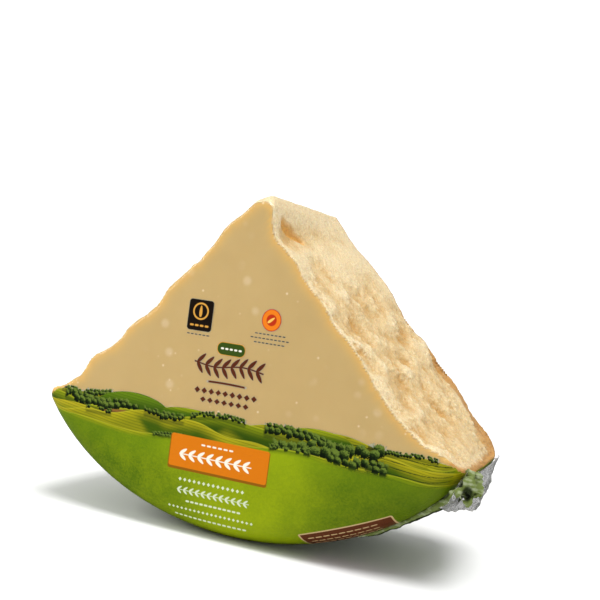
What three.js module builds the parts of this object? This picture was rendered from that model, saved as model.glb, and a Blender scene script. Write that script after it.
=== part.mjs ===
// A vacuum-packed wedge of hard grating cheese: an eighth of a wheel (half its height, a quarter of
// its round) in a tight shrink bag, standing on its curved heel. The front face is wire-cut and
// smooth, both flanks are broken open and craggy, and the heel and the back face keep their rind.
// Beside the wedge are the two places where the bag stands clear of the cheese: the clear tail that
// hangs from the right corner, and a pinched fold of printed film at its front end.
//
// Millimetres, +Z up. X runs across the wedge and Y along the wheel's axis, with the front face at
// the lowest Y. The origin is the middle of the small flat foot on the heel.

import * as THREE from 'three';
import { mergeVertices } from 'three/addons/utils/BufferGeometryUtils.js';

// Driving dimensions
const WHEEL_RADIUS = 195;            // centre of the wheel to the heel's rim on the front face
const SECTOR_ANGLE = 88 * Math.PI / 180;
const THICKNESS = 127;               // front face to back face
const HEEL_BULGE = 15.8;             // how far the barrel-shaped heel stands beyond that rim
const FOOT_CUT = 0.8;                // depth of the flat spot that the wedge rests on

// The heel's section along the wheel's axis: rounded rims, the back one deeper
const FRONT_RIM = { depth: 29, drop: 16 };
const BACK_RIM = { depth: 27, drop: 21 };
const HEEL_TAPER = 0.03;             // lost radius for each millimetre towards the back
const CORNER_FALL = {                // the bag pulls the heel in towards its corners
  left: { drop: 8.5, power: 4 },
  right: { drop: 10.5, power: 2 },
};

const TIP_RISE = 2.4;                // the break passes a little beyond the wheel's centre
const TIP_CHIP = { drop: 7.5, depth: 13 };       // the front corner of the tip is chipped off
const APEX_ROUND = 5;                // along each flank, where the tip is blunted
const CORNER_ROUND = 5;              // along flank and heel, where they meet
const RIDGE_INSET = 1.75;            // the rounding's crest lies this far inside the sharp corner
const EDGE_ROUND = 3;                // depth over which a flank rounds into a flat face
const EDGE_INSET = 1.8;              // and how far it draws in there

// Relief of the broken flanks. A ledge runs along the wheel's axis, a little askew; along is its
// distance from the tip and drop the height of its small cliff. A scoop is a hollow with its place
// along and across the flank, its half sizes and its depth.
const LEDGE_SLANT = 0.09;
const RIGHT_RECESS = { depth: 9.3, reach: 105 };  // the front edge lies back from the rear
const RIGHT_LEDGES = [
  { along: 79, drop: 2.8 }, { along: 104, drop: 1.8 }, { along: 128, drop: 2.6 }, { along: 156, drop: 1.4 },
];
const RIGHT_SCOOPS = [
  { along: 27, across: 16, length: 13, width: 17, depth: 2.6 },
  { along: 89, across: 0, length: 13, width: 24, depth: 2.6 },
  { along: 134, across: 0, length: 12, width: 20, depth: 2 },
  { along: 46, across: 80, length: 21, width: 38, depth: 2 },
];
const LEFT_RECESS = 4;               // this flank lies back between its tip and its corner
const LEFT_SHOULDER = { along: 28, reach: 34, height: 6.5 };
const LEFT_LEDGES = [
  { along: 57, drop: 2.2 }, { along: 90, drop: 2.8 }, { along: 119, drop: 2.2 }, { along: 150, drop: 2 },
];
const LEFT_SCOOPS = [
  { along: 106, across: 8, length: 24, width: 38, depth: 3 },
  { along: 164, across: 4, length: 17, width: 34, depth: 3 },
  { along: 63, across: 88, length: 19, width: 25, depth: 4 },
  { along: 122, across: 96, length: 23, width: 21, depth: 3.5 },
];
const CRUMBLE = { coarse: 1.7, fine: 1.5 };      // height of the uneven break at two scales
const LEFT_CRUMBLE = 0.8;            // share of that height on the left flank

// Mesh steps
const FLANK_STEPS = 50;
const HEEL_STEPS = 30;
const CORNER_STEPS = 4;
const MID_RING_PITCH = 5.2;

// The bag's free parts, from a start to an end depth behind the front face. The tail leans in under
// the heel: lean is its sideways travel for each millimetre down, and forward is how far its front
// hem swings to the front. Trim is the share of the drop that it lacks at its two ends.
const FILM_GAP = 0.5;
const TAIL = {
  start: 10, end: 104, drop: 29, lean: 0.45, forward: 11.5, thickness: 1.2, steps: 26, rows: 7,
};
const TAIL_TRIM = { front: 0.12, rear: 0.75 };
const TAIL_WAVES = { belly: 2.2, flare: 2, uneven: 0.1 };
const FOLD = { start: 2, end: 24, size: 6, drop: 15, near: 4.6, far: 6.8, sag: 3, steps: 12, sides: 12 };

const HALF_ANGLE = SECTOR_ANGLE / 2;
const TIP_HEIGHT = WHEEL_RADIUS + HEEL_BULGE - FOOT_CUT;
const FRONT_Y = -THICKNESS / 2;

const smooth = (edge0, edge1, value) => THREE.MathUtils.smoothstep(value, edge0, edge1);

// Repeatable noise: a hashed lattice with smooth interpolation
function latticeValue(i, j) {
  let h = Math.imul(i, 374761393) + Math.imul(j, 668265263);
  h = Math.imul(h ^ (h >>> 13), 1274126177);
  return ((h ^ (h >>> 16)) >>> 0) / 4294967295 * 2 - 1;
}

function noise(x, y) {
  const i = Math.floor(x);
  const j = Math.floor(y);
  const fx = smooth(0, 1, x - i);
  const fy = smooth(0, 1, y - j);
  const low = THREE.MathUtils.lerp(latticeValue(i, j), latticeValue(i + 1, j), fx);
  const high = THREE.MathUtils.lerp(latticeValue(i, j + 1), latticeValue(i + 1, j + 1), fx);
  return THREE.MathUtils.lerp(low, high, fy);
}

// Quarter-ellipse ease: 1 at distance 0 from an edge, 0 from `reach` on
function rimEase(distance, reach) {
  const t = Math.max(0, 1 - distance / reach);
  return 1 - Math.sqrt(1 - t * t);
}

// Radius of the heel at an angle from the middle and a depth behind the front face
function heelRadius(angle, depth) {
  const side = angle < 0 ? CORNER_FALL.left : CORNER_FALL.right;
  const fall = side.drop * Math.abs(angle / HALF_ANGLE) ** side.power;
  const front = FRONT_RIM.drop * rimEase(depth, FRONT_RIM.depth);
  const back = BACK_RIM.drop * rimEase(THICKNESS - depth, BACK_RIM.depth);
  const taper = HEEL_TAPER * Math.max(0, depth - THICKNESS / 2);
  return WHEEL_RADIUS + HEEL_BULGE - fall - front - back - taper;
}

// Ledges: the break rises gently away from the tip, then drops in a small cliff at each ledge
function ledgeRelief(ledges, along, across) {
  let height = 0;
  ledges.forEach(({ along: place, drop }, index) => {
    const wander = 6 * noise(across / 19, 11 + index * 7);
    const edge = place + wander - LEDGE_SLANT * (across - THICKNESS / 2);
    const strength = 0.6 + 0.6 * noise(across / 34 + index * 5, 4);
    const rise = smooth(edge - 28, edge - 2, along) - smooth(edge - 2, edge + 4, along);
    height += drop * strength * rise;
  });
  return height;
}

function scoopRelief(scoops, along, across) {
  let height = 0;
  for (const scoop of scoops) {
    const a = (along - scoop.along) / scoop.length;
    const b = (across - scoop.across) / scoop.width;
    height -= scoop.depth * smooth(0, 1, 1 - Math.hypot(a, b));
  }
  return height;
}

function crumble(along, across, seed) {
  const coarse = noise(along / 23 + seed, across / 35 + seed);
  const fine = noise(along / 8.5 - seed, across / 11 + 2 * seed);
  const rough = smooth(30, 120, along);
  return CRUMBLE.coarse * coarse + CRUMBLE.fine * (0.3 + 0.7 * rough) * fine;
}

function rightRelief(along, across) {
  const length = WHEEL_RADIUS;
  const middle = smooth(6, 26, along) * (1 - smooth(length - 37, length - 7, along));
  const recess = RIGHT_RECESS.depth * (1 - smooth(0, RIGHT_RECESS.reach, across));
  const shape = ledgeRelief(RIGHT_LEDGES, along, across) + scoopRelief(RIGHT_SCOOPS, along, across);
  return middle * (shape - recess + crumble(along, across, 3));
}

function leftRelief(along, across) {
  const length = WHEEL_RADIUS;
  const middle = smooth(4, 22, along) * (1 - smooth(length - 14, length, along));
  const off = Math.abs(along - LEFT_SHOULDER.along) / LEFT_SHOULDER.reach;
  const shoulder = LEFT_SHOULDER.height * smooth(0, 1, 1 - off);
  const shape = ledgeRelief(LEFT_LEDGES, along, across) + scoopRelief(LEFT_SCOOPS, along, across);
  return middle * (shape - LEFT_RECESS + LEFT_CRUMBLE * crumble(along, across, 8)) + shoulder;
}

// A point of a flank's surface in the section plane; side is 1 on the right and -1 on the left
function flankPoint(side, along, depth) {
  const relief = side > 0 ? rightRelief(along, depth) : leftRelief(along, depth);
  const edge = Math.min(depth, THICKNESS - depth);
  const out = relief - EDGE_INSET * rimEase(edge, EDGE_ROUND);
  return new THREE.Vector2(
    side * (along * Math.sin(HALF_ANGLE) + out * Math.cos(HALF_ANGLE)),
    TIP_HEIGHT - along * Math.cos(HALF_ANGLE) + out * Math.sin(HALF_ANGLE),
  );
}

function heelPoint(angle, depth) {
  const radius = heelRadius(angle, depth);
  return new THREE.Vector2(radius * Math.sin(angle), TIP_HEIGHT - radius * Math.cos(angle));
}

// Points strictly between two ends of a corner, rounded towards its sharp point
function cornerPoints(from, sharp, to) {
  const curve = new THREE.QuadraticBezierCurve(from, sharp, to);
  return curve.getPoints(CORNER_STEPS).slice(1, -1);
}

// One closed section of the wedge at a depth, clockwise from the tip as seen from the front
function wedgeSection(depth) {
  const points = [];
  const cornerAngle = CORNER_ROUND / WHEEL_RADIUS;
  const chip = TIP_CHIP.drop * rimEase(depth, TIP_CHIP.depth);
  const flank = (side) => {
    const end = heelRadius(side * HALF_ANGLE, depth) - CORNER_ROUND;
    const along = (i) => THREE.MathUtils.lerp(APEX_ROUND + chip, end, i / FLANK_STEPS);
    return Array.from({ length: FLANK_STEPS + 1 }, (_, i) => flankPoint(side, along(i), depth));
  };
  const right = flank(1);
  const left = flank(-1).reverse();
  const heel = Array.from({ length: HEEL_STEPS + 1 }, (_, i) => {
    const reach = HALF_ANGLE - cornerAngle;
    return heelPoint(THREE.MathUtils.lerp(reach, -reach, i / HEEL_STEPS), depth);
  });
  const inset = EDGE_INSET * rimEase(THICKNESS - depth, EDGE_ROUND);
  const tip = new THREE.Vector2(0, TIP_HEIGHT + TIP_RISE - (1 + TIP_RISE / TIP_CHIP.drop) * chip - inset);
  points.push(...right, ...cornerPoints(right.at(-1), heelPoint(HALF_ANGLE, depth), heel[0]));
  points.push(...heel, ...cornerPoints(heel.at(-1), heelPoint(-HALF_ANGLE, depth), left[0]));
  points.push(...left, ...cornerPoints(left.at(-1), tip, right[0]));
  for (const point of points) point.y = Math.max(point.y, 0);
  return points;
}

function ringDepths() {
  const rim = [0, 0.9, 2.6, 6, 11, 17, 24];
  const last = rim.at(-1);
  const middle = Math.round((THICKNESS - 2 * last) / MID_RING_PITCH);
  const depths = [...rim];
  for (let i = 1; i < middle; i++) depths.push(last + (THICKNESS - 2 * last) * i / middle);
  return [...depths, ...rim.map((depth) => THICKNESS - depth).reverse()];
}

function closedGeometry(vertices, triangles) {
  const geometry = new THREE.BufferGeometry();
  geometry.setAttribute('position', new THREE.Float32BufferAttribute(vertices, 3));
  geometry.setIndex(triangles);
  const merged = mergeVertices(geometry, 1e-4);
  merged.computeVertexNormals();
  return merged;
}

// The wedge: sections lofted along the wheel's axis, closed by the flat front and back faces
function wedgeGeometry() {
  const depths = ringDepths();
  const rings = depths.map(wedgeSection);
  const count = rings[0].length;
  const vertices = [];
  const triangles = [];
  rings.forEach((ring, r) => {
    for (const point of ring) vertices.push(point.x, FRONT_Y + depths[r], point.y);
  });
  for (let r = 0; r + 1 < rings.length; r++) {
    for (let i = 0; i < count; i++) {
      const a = r * count + i;
      const b = r * count + (i + 1) % count;
      const c = a + count;
      const d = b + count;
      triangles.push(a, b, c, b, d, c);
    }
  }
  const cap = (ring, offset, flip) => {
    for (const [a, b, c] of THREE.ShapeUtils.triangulateShape(ring, [])) {
      triangles.push(offset + a, offset + (flip ? c : b), offset + (flip ? b : c));
    }
  };
  const clockwise = THREE.ShapeUtils.isClockWise(rings[0]);
  cap(rings[0], 0, !clockwise);
  cap(rings.at(-1), (rings.length - 1) * count, clockwise);
  return closedGeometry(vertices, triangles);
}

// A closed thin sheet: surface(s, t) with s and t from 0 to 1, given a thickness along its normal
function sheetGeometry(surface, thickness, steps, rows) {
  const vertices = [];
  const triangles = [];
  const index = (side, i, j) => (side * (steps + 1) + i) * (rows + 1) + j;
  const delta = 1e-3;
  for (const side of [0, 1]) {
    for (let i = 0; i <= steps; i++) {
      for (let j = 0; j <= rows; j++) {
        const s = i / steps;
        const t = j / rows;
        const point = surface(s, t);
        const alongS = surface(s + delta, t).sub(surface(s - delta, t));
        const alongT = surface(s, t + delta).sub(surface(s, t - delta));
        const normal = alongS.cross(alongT).normalize();
        point.addScaledVector(normal, (side - 0.5) * thickness);
        vertices.push(point.x, point.y, point.z);
      }
    }
  }
  const quad = (a, b, c, d) => triangles.push(a, b, c, a, c, d);
  for (let i = 0; i < steps; i++) {
    for (let j = 0; j < rows; j++) {
      quad(index(1, i, j), index(1, i + 1, j), index(1, i + 1, j + 1), index(1, i, j + 1));
      quad(index(0, i, j), index(0, i, j + 1), index(0, i + 1, j + 1), index(0, i + 1, j));
    }
    quad(index(0, i, 0), index(0, i + 1, 0), index(1, i + 1, 0), index(1, i, 0));
    quad(index(0, i + 1, rows), index(0, i, rows), index(1, i, rows), index(1, i + 1, rows));
  }
  for (let j = 0; j < rows; j++) {
    quad(index(0, 0, j + 1), index(0, 0, j), index(1, 0, j), index(1, 0, j + 1));
    quad(index(0, steps, j), index(0, steps, j + 1), index(1, steps, j + 1), index(1, steps, j));
  }
  return closedGeometry(vertices, triangles);
}

// Where the bag leaves the wedge: the ridge between the right flank and the heel
function cornerRidge(depth) {
  const radius = heelRadius(HALF_ANGLE, depth) - RIDGE_INSET;
  const x = radius * Math.sin(HALF_ANGLE);
  return new THREE.Vector3(x, FRONT_Y + depth, TIP_HEIGHT - radius * Math.cos(HALF_ANGLE));
}

// The clear tail: a crumpled flap that hangs down from the corner ridge
function tailSurface(s, t) {
  const depth = THREE.MathUtils.lerp(TAIL.start, TAIL.end, s);
  const root = cornerRidge(depth);
  const front = 1 - TAIL_TRIM.front * (1 - smooth(0, 0.2, s));
  const rear = 1 - TAIL_TRIM.rear * smooth(0.48, 1, s);
  const uneven = 1 - TAIL_WAVES.uneven * (1 - noise(s * 7, 5));
  const hang = TAIL.drop * front * rear * uneven;
  const belly = TAIL_WAVES.belly * Math.sin(t * Math.PI) * smooth(0, 0.35, s) * (1 - s);
  const flare = belly + TAIL_WAVES.flare * t * noise(s * 6 + 3, t * 1.5);
  const lean = TAIL.lean * (1 - 0.6 * smooth(0, 0.5, s)) * hang * t * (0.35 + 0.65 * t);
  root.x += FILM_GAP + TAIL.thickness / 2 + flare - lean;
  root.y -= TAIL.forward * t * (1 - smooth(0, 0.35, s));
  root.z -= hang * t;
  return root;
}

// The pinched fold of printed film: a flattened loop that tapers to both ends
function foldGeometry() {
  const vertices = [];
  const triangles = [];
  const { steps, sides } = FOLD;
  for (let i = 0; i <= steps; i++) {
    const s = i / steps;
    const depth = THREE.MathUtils.lerp(FOLD.start, FOLD.end, s);
    const swell = 0.25 + 0.75 * Math.sin(Math.PI * Math.min(1, 0.12 + s)) ** 0.8;
    const ridge = cornerRidge(depth);
    const offset = THREE.MathUtils.lerp(FOLD.near, FOLD.far, s) + 0.5 * noise(s * 5, 1);
    const middle = new THREE.Vector2(ridge.x + offset, ridge.z - FOLD.drop / 2);
    for (let k = 0; k < sides; k++) {
      const turn = 2 * Math.PI * k / sides;
      const pinch = 0.62 + 0.38 * Math.sin(turn);
      const x = middle.x + 0.5 * FOLD.size * swell * Math.cos(turn) * pinch;
      const z = middle.y + 0.5 * FOLD.drop * swell * Math.sin(turn) - FOLD.sag * s;
      vertices.push(x, FRONT_Y + depth, z);
    }
  }
  for (let i = 0; i < steps; i++) {
    for (let k = 0; k < sides; k++) {
      const a = i * sides + k;
      const b = i * sides + (k + 1) % sides;
      triangles.push(a, a + sides, b, b, a + sides, b + sides);
    }
  }
  for (let k = 1; k + 1 < sides; k++) {
    triangles.push(0, k, k + 1);
    const base = steps * sides;
    triangles.push(base, base + k + 1, base + k);
  }
  return closedGeometry(vertices, triangles);
}

function namedMesh(name, geometry, color, roughness) {
  const material = new THREE.MeshStandardMaterial({ color, roughness, metalness: 0 });
  const mesh = new THREE.Mesh(geometry, material);
  mesh.name = name;
  return mesh;
}

const pack = new THREE.Group();
pack.add(namedMesh('wrapped_wedge', wedgeGeometry(), 0xdcbd86, 0.35));
const tail = sheetGeometry(tailSurface, TAIL.thickness, TAIL.steps, TAIL.rows);
pack.add(namedMesh('film_tail', tail, 0xc9cdd0, 0.15));
pack.add(namedMesh('film_fold', foldGeometry(), 0x6d7f1f, 0.3));

export default pack;
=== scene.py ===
# %% [markdown]
# # A vacuum-packed wedge of hard cheese
# A wheel of hard grating cheese is halved, quartered and sealed in a shrink bag. The front of the
# wedge is cut smooth with a wire, both flanks are broken open, and the heel and the back keep their
# rind. The bag is clear, with a meadow printed round the heel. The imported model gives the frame.

# %% Load the frame
import math

import bpy
import numpy as np
from mathutils import Matrix, Vector


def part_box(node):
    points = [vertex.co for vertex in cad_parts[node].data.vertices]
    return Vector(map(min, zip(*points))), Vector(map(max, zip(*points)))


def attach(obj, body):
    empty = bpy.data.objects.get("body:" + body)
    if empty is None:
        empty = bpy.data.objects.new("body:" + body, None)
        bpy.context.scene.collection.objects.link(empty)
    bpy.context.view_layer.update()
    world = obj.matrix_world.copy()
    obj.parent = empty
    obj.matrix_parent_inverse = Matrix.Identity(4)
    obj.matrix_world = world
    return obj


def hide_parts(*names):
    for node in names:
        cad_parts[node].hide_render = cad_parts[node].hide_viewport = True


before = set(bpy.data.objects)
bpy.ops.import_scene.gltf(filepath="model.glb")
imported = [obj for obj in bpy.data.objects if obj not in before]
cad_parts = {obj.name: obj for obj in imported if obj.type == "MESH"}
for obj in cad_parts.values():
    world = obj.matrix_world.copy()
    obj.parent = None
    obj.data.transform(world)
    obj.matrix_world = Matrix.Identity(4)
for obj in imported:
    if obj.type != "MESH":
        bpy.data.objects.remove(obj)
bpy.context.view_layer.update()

# %% [markdown]
# ## Sizes
# The wedge is a sector of a wheel: its tip is the wheel's centre and Y is the wheel's axis. The
# corner between flank and heel isn't straight, because the heel bulges like a barrel and its rims
# are rounded. These few sizes describe that shape, so that any point can be said to lie on the
# front, a flank, the heel or the back. Lengths are in metres.

# %% Sizes of the wedge
MM = 0.001
wedge_low, wedge_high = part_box("wrapped_wedge")
FRONT_Y, BACK_Y = wedge_low.y, wedge_high.y
THICKNESS = BACK_Y - FRONT_Y
HALF_ANGLE = math.radians(44)
FLAT_RADIUS = 195 * MM               # heel rim on the front face
HEEL_BULGE = 15.8 * MM
FOOT_CUT = 0.8 * MM
CENTRE_Z = FLAT_RADIUS + HEEL_BULGE - FOOT_CUT
FRONT_RIM = (29 * MM, 16 * MM)       # depth of a rounded rim and how much radius it takes off
BACK_RIM = (27 * MM, 21 * MM)
HEEL_TAPER = 0.03
CORNER_FALL = ((8.5 * MM, 4), (10.5 * MM, 2))   # left and right: radius lost at the corner, power


def smooth(low, high, value):
    """0 below low, 1 above high, with an S-curve between them."""
    t = np.clip((value - low) / (high - low), 0, 1)
    return t * t * (3 - 2 * t)


def rim_ease(distance, reach):
    """A quarter ellipse: 1 at the edge, 0 from reach on."""
    t = np.clip(1 - distance / reach, 0, 1)
    return 1 - np.sqrt(1 - t * t)


def heel_radius(angle, depth):
    """Radius of the heel at an angle from the middle and a depth behind the front face."""
    (left, left_power), (right, right_power) = CORNER_FALL
    share = np.abs(angle / HALF_ANGLE)
    fall = np.where(angle < 0, left * share**left_power, right * share**right_power)
    rims = FRONT_RIM[1] * rim_ease(depth, FRONT_RIM[0])
    rims = rims + BACK_RIM[1] * rim_ease(THICKNESS - depth, BACK_RIM[0])
    taper = HEEL_TAPER * np.maximum(0, depth - THICKNESS / 2)
    return FLAT_RADIUS + HEEL_BULGE - fall - rims - taper


print("thickness", round(THICKNESS, 4), "wheel centre at height", round(CENTRE_Z, 4))

# %% [markdown]
# ## Helpers
# An operator acts on all that is selected, so everything is deselected first. A modifier is applied
# as soon as it is set, so that the next step works on the real mesh.

# %% Helpers for modelling
WELD = 0.01 * MM                     # CAD vertices nearer than this are one
WEIGHT_STEPS = 20


def select_only(piece):
    bpy.ops.object.select_all(action="DESELECT")
    piece.select_set(True)
    bpy.context.view_layer.objects.active = piece


def apply_modifier(piece, kind, **settings):
    """Adds a modifier with these settings and applies it."""
    select_only(piece)
    modifier = piece.modifiers.new(kind.title(), kind)
    for key, value in settings.items():
        setattr(modifier, key, value)
    bpy.ops.object.modifier_apply(modifier=modifier.name)


def merged_copy(node, name):
    """A copy of a CAD node whose loose triangles are merged into one skin."""
    piece = bpy.data.objects.new(name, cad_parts[node].data.copy())
    bpy.context.scene.collection.objects.link(piece)
    piece.data.materials.clear()
    select_only(piece)
    bpy.ops.object.mode_set(mode="EDIT")
    bpy.ops.mesh.select_all(action="SELECT")
    bpy.ops.mesh.remove_doubles(threshold=WELD)
    bpy.ops.mesh.customdata_custom_splitnormals_clear()
    bpy.ops.object.mode_set(mode="OBJECT")
    bpy.ops.object.shade_smooth()
    return piece


def positions(piece):
    """The vertices of a piece as an array of x, y, z."""
    co = np.empty(len(piece.data.vertices) * 3, np.float32)
    piece.data.vertices.foreach_get("co", co)
    return co.reshape(-1, 3).astype(float)


def normals(piece):
    """The vertex normals of a piece, in the same order."""
    co = np.empty(len(piece.data.vertices) * 3, np.float32)
    piece.data.vertices.foreach_get("normal", co)
    return co.reshape(-1, 3).astype(float)


def displace(piece, texture, height, middle=0.5, group=""):
    """Moves the skin along its normals by a texture: up where it is lighter than its middle grey."""
    apply_modifier(piece, "DISPLACE", texture=texture, texture_coords="LOCAL",
                   strength=height, mid_level=middle, vertex_group=group)


def move_to(piece, co):
    piece.data.vertices.foreach_set("co", co.astype(np.float32).ravel())
    piece.data.update()


def set_weights(piece, name, weights):
    """A vertex group. Vertices of about the same weight, in steps of 1/20, are added in one call."""
    group = piece.vertex_groups.new(name=name)
    for level in range(1, WEIGHT_STEPS + 1):
        chosen = np.flatnonzero(np.round(weights * WEIGHT_STEPS) == level)
        if len(chosen):
            group.add(chosen.tolist(), level / WEIGHT_STEPS, "REPLACE")


def set_attribute(piece, name, values):
    """A number for each vertex that a material can read by name."""
    layer = piece.data.attributes.new(name, "FLOAT", "POINT")
    layer.data.foreach_set("value", values.astype(np.float32))


def report(piece):
    piece.data.calc_loop_triangles()
    print(piece.name, len(piece.data.vertices), "vertices", len(piece.data.loop_triangles), "triangles")


# %% [markdown]
# ## Where a point lies
# `along` is the distance from the tip down a flank and `depth` the distance behind the front face.
# `side` is the distance past the ridge between flank and heel: negative on a flank, positive on the
# heel, and smooth across the ridge, so that a border can follow it.

# %% Places on the wedge


def places(co):
    x, depth, z = co[:, 0], co[:, 1] - FRONT_Y, co[:, 2] - CENTRE_Z
    radius = np.hypot(x, z)
    angle = np.arctan2(x, -z)
    along = np.abs(x) * math.sin(HALF_ANGLE) - z * math.cos(HALF_ANGLE)
    inside_flank = -(np.abs(x) * math.cos(HALF_ANGLE) + z * math.sin(HALF_ANGLE))
    inside_heel = heel_radius(np.clip(angle, -HALF_ANGLE, HALF_ANGLE), depth) - radius
    return {
        "x": x, "z": co[:, 2], "depth": depth, "radius": radius, "angle": angle, "along": along,
        "side": inside_flank - inside_heel,
    }


# %% [markdown]
# ## The cheese
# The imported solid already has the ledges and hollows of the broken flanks. A voxel remesh gives it an
# even skin of small quads, which displacement can shape further. Hard cheese breaks into crumbs and
# flakes: a coarse cloud texture lifts and sinks patches, and a cell texture leaves the flat chips.
# Only the flanks get them, through a vertex group. The front is wire-cut and stays smooth, and near
# the tip the flanks are calmer, because there the wedge was split with one stroke.

# %% The cheese: an even skin
CHEESE_VOXEL = 1.4 * MM

cheese = merged_copy("wrapped_wedge", "cheese")
apply_modifier(cheese, "REMESH", mode="VOXEL", voxel_size=CHEESE_VOXEL, use_smooth_shade=True)
report(cheese)

# %% The cheese: crumbs and flakes on the flanks
SKIN = 0.5 * MM                      # the cheese lies this far inside the bag's outer surface
BROKEN_FROM = (1.5 * MM, 5 * MM)     # distance from the ridge at which the breakage sets in
FLAT_FACING = (0.75, 0.97)           # share of a normal along Y on the flat faces, which stay smooth
ROUGH_FROM, CALM_SHARE = (22 * MM, 58 * MM), 0.3    # down from the tip, and roughness at the tip
CRUMBS = (                           # texture, its size, height
    ("CLOUDS", 24 * MM, 4.5 * MM),
    ("CLOUDS", 11 * MM, 3.6 * MM),
    ("VORONOI", 9 * MM, 2.8 * MM),
    ("VORONOI", 4 * MM, 2.2 * MM),
    ("CLOUDS", 2.4 * MM, 2.2 * MM),
)


def relief_texture(kind, size):
    """Clouds are soft lumps. The cell texture's second distance less its first gives cracks."""
    texture = bpy.data.textures.new(f"{kind.lower()} {size / MM:.0f} mm", kind)
    texture.noise_scale = size
    if kind == "CLOUDS":
        texture.noise_depth = 3
    else:
        texture.weight_1, texture.weight_2 = -1, 1
    return texture


spot = places(positions(cheese))
facing = normals(cheese)
broken = smooth(*BROKEN_FROM, -spot["side"]) * (1 - smooth(*FLAT_FACING, np.abs(facing[:, 1])))
rough = smooth(*ROUGH_FROM, spot["along"] - 0.3 * spot["depth"])
rough = CALM_SHARE + (1 - CALM_SHARE) * rough
waves = np.sin(spot["along"] / (9 * MM)) * np.sin(spot["depth"] / (13 * MM) + spot["along"] / (31 * MM))
rough *= 0.75 + 0.25 * waves
set_weights(cheese, "broken", broken * rough)
apply_modifier(cheese, "DISPLACE", strength=-SKIN, mid_level=0)
for kind, size, height in CRUMBS:
    displace(cheese, relief_texture(kind, size), height, group="broken")

# %% [markdown]
# A crack runs into the right flank just below the tip. It is a slot about 25 mm long, so the points
# near its middle line are pushed in along the flank's normal.

# %% The cheese: the crack below the tip
CRACK_FROM, CRACK_TO = (16.5 * MM, 15 * MM), (26 * MM, 35 * MM)   # along, depth
CRACK_WIDTH = 3.5 * MM
CRACK_DEPTH = 1.9 * MM


def distance_to_line(a, b, start, end):
    """Distance of points (a, b) from the line between two places."""
    run = np.subtract(end, start)
    share = np.clip(((a - start[0]) * run[0] + (b - start[1]) * run[1]) / run.dot(run), 0, 1)
    return np.hypot(a - start[0] - share * run[0], b - start[1] - share * run[1])


co = positions(cheese)
spot = places(co)
off = distance_to_line(spot["along"], spot["depth"], CRACK_FROM, CRACK_TO)
on_right = (spot["x"] > 0) & (spot["side"] < 0)
push = CRACK_DEPTH * on_right * (1 - smooth(0.25 * CRACK_WIDTH, CRACK_WIDTH, off))
right_normal = np.array((math.cos(HALF_ANGLE), 0, math.sin(HALF_ANGLE)))
move_to(cheese, co - push[:, None] * right_normal)
crack = 1 - smooth(0.4 * CRACK_WIDTH, 1.25 * CRACK_WIDTH, off)
set_attribute(cheese, "crack", crack * on_right)
print("the crack pushes in", int((push > 0).sum()), "points")

# %% [markdown]
# The material needs to know where it is: on a flank, how deep in a small hollow or a broad dell, and
# how near the rind. An attribute holds each of these for every vertex. A hollow is found by comparing
# the mesh with a smoothed copy of itself, and a dell by smoothing that copy much further; the flanks
# get painted shade in both, and a painted highlight where they stand out. The rind shows as a strip
# at the back of the flanks that widens towards the heel. Near its jagged edge the front is thin and
# gets a painted golden glow, as light shining through it: the edge is the outermost point of the
# front in each 3 mm of a flank.

# %% The cheese: attributes for its material
HOLLOW_PASSES, DELL_PASSES = 14, 110     # how often the copies are smoothed
RIND_THICK = 5 * MM
PALE_TOP = 1.0 * MM                  # the top of a flank gets the painted highlight of a crest that stands out this far
FRONT_SKIN = 3 * MM                  # points nearer than this to the front face belong to it
EDGE_STEP = 3 * MM                   # the jagged edge is sampled at this step
EDGE_BAND = 5 * MM                   # over which the painted golden glow at the front's edge fades


def smoothed(piece, co, times):
    """The points after each has moved to the mean of its neighbours a number of times."""
    edges = np.empty(len(piece.data.edges) * 2, np.int32)
    piece.data.edges.foreach_get("vertices", edges)
    a, b = edges.reshape(-1, 2).T
    count = np.bincount(a, minlength=len(co)) + np.bincount(b, minlength=len(co))
    for _ in range(times):
        total = np.stack([
            np.bincount(a, co[b, k], len(co)) + np.bincount(b, co[a, k], len(co)) for k in range(3)
        ], axis=1)
        co = total / count[:, None]
    return co


co = positions(cheese)
spot = places(co)
facing = normals(cheese)
calm = smoothed(cheese, co, HOLLOW_PASSES)
hollow = ((calm - co) * facing).sum(axis=1)
dell = ((smoothed(cheese, calm, DELL_PASSES) - calm) * facing).sum(axis=1)
dell -= PALE_TOP * (1 - smooth(40 * MM, 80 * MM, spot["along"]))
flank = smooth(1 * MM, 4 * MM, -spot["side"]) * (1 - smooth(0.6, 0.95, np.abs(facing[:, 1])))
print("broad hollows reach", round(float(dell[flank > 0.9].max()) / MM, 2), "mm")

widening = smooth(85 * MM, 135 * MM, spot["along"]) + 2 * smooth(140 * MM, 190 * MM, spot["along"])
strip = RIND_THICK * (0.9 + 1.6 * widening)
rind = np.maximum(1 - smooth(0.35, 1.25, (THICKNESS - spot["depth"]) / strip),
                  1 - smooth(0, 1.6 * RIND_THICK, -spot["side"]))
rind = np.where(spot["depth"] < 4 * MM, rind * smooth(0, 4 * MM, spot["depth"]), rind)

out = np.abs(spot["x"]) * math.cos(HALF_ANGLE) + (spot["z"] - CENTRE_Z) * math.sin(HALF_ANGLE)
front = (spot["depth"] < FRONT_SKIN) & (facing[:, 1] < -0.8)
step = np.round(spot["along"] / EDGE_STEP).astype(int) * 2 + (spot["x"] > 0)
step -= step.min()
border = np.full(step.max() + 1, -1.0)
np.maximum.at(border, step[front], out[front])
edge = np.exp(-np.maximum(0, border[step] - out) / EDGE_BAND) * (spot["depth"] < FRONT_SKIN)

for name, values in (("hollow", hollow / MM), ("dell", dell / MM), ("flank", flank),
                     ("rind", rind), ("edge", edge)):
    set_attribute(cheese, name, values)
report(cheese)

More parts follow.
